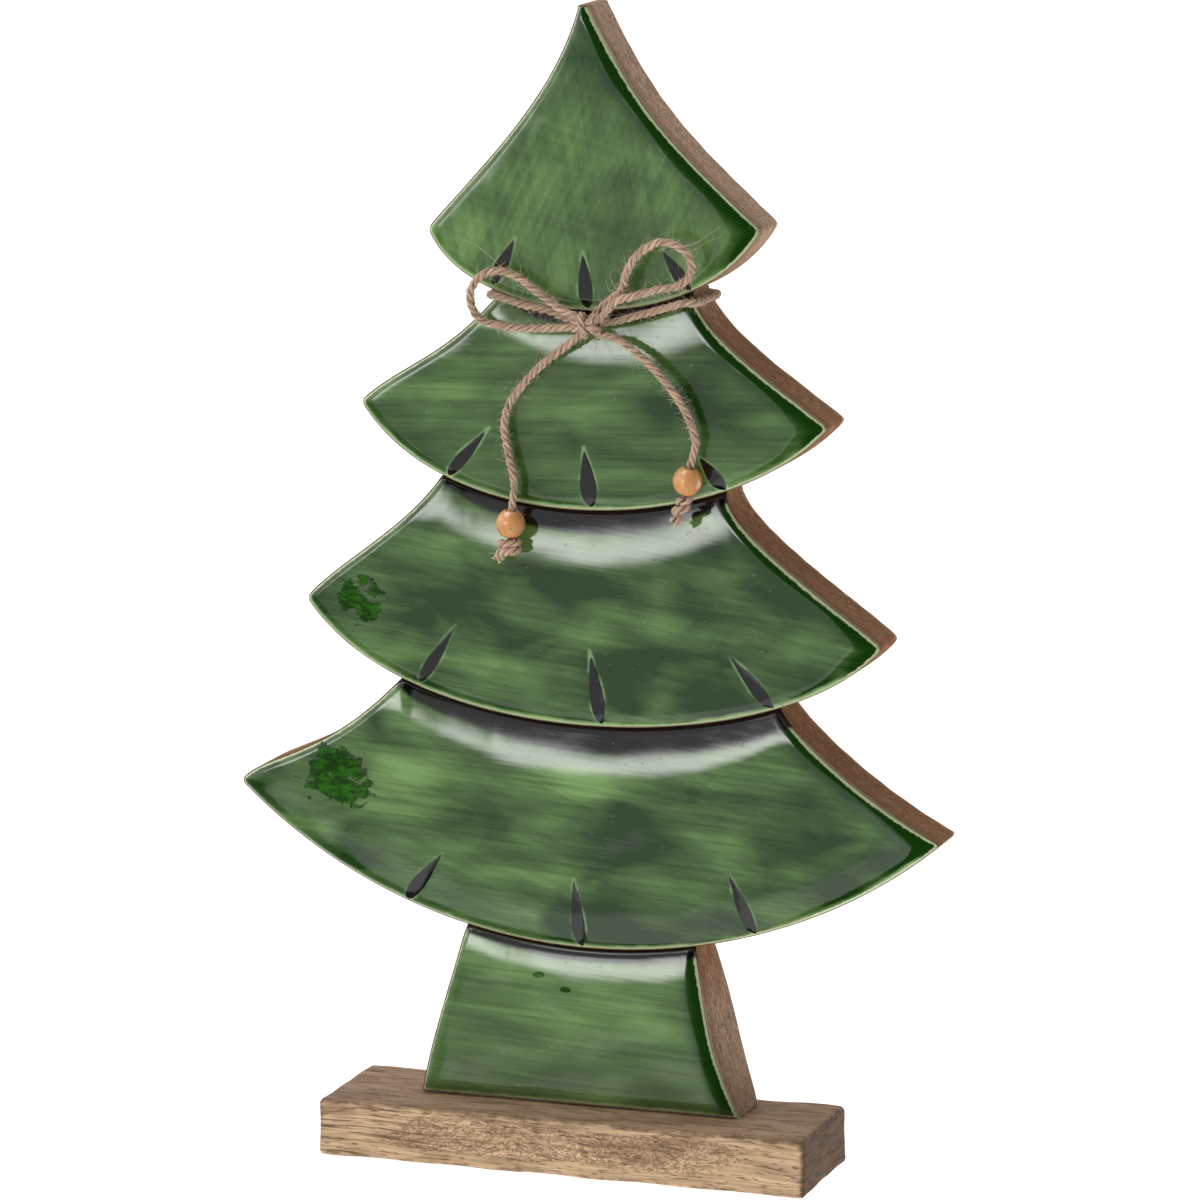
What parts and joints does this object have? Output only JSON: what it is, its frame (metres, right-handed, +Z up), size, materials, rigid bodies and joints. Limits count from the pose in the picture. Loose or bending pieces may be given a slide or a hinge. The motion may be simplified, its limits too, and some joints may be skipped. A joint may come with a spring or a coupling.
{
  "type": "christmas tree ornament",
  "caption": "Free-standing carved wooden fir tree with a glossy green enamel front, on a block plinth, with a jute bow and wooden beads on its hanging ends.",
  "frame": {"origin": "centre of the plinth's underside, on the surface that the tree stands on", "axes": "+Z up, -Y out of the enamelled front, +X to the right as seen from the front"},
  "size_m": [0.2504, 0.051, 0.3995],
  "materials": {
    "board_wood": "sanded and lightly stained, brown",
    "plinth_wood": "sanded, clear waxed, tan",
    "green_enamel": "thick high gloss enamel over brushed green paint",
    "jute_twine": "natural twisted jute",
    "bead_wood": "turned, satin varnish",
    "screw_steel": "zinc plated"
  },
  "bodies": {
    "root": {"plinth": "plinth_wood", "plinth_screw_left": "screw_steel", "plinth_screw_right": "screw_steel", "tree_board": "board_wood", "enamel_tier_top": "green_enamel", "enamel_tier_upper": "green_enamel", "enamel_tier_lower": "green_enamel", "enamel_tier_bottom": "green_enamel", "enamel_trunk": "green_enamel", "twine_wrap": "jute_twine", "bow_knot": "jute_twine", "bow_loop_left": "jute_twine", "bow_loop_right": "jute_twine", "tail_left": "jute_twine", "tail_right": "jute_twine", "end_knot_left": "jute_twine", "end_knot_right": "jute_twine"},
    "bead_left": {"bead_left": "bead_wood"},
    "bead_right": {"bead_right": "bead_wood"}
  },
  "joints": [
    {"name": "bead_left_slide", "type": "slide", "parent": "root", "child": "bead_left", "axis": [0.1, 0, 0.995], "range_m": [0, 0.008]},
    {"name": "bead_right_slide", "type": "slide", "parent": "root", "child": "bead_right", "axis": [0.218, 0, 0.976], "range_m": [0, 0.008]}
  ]
}
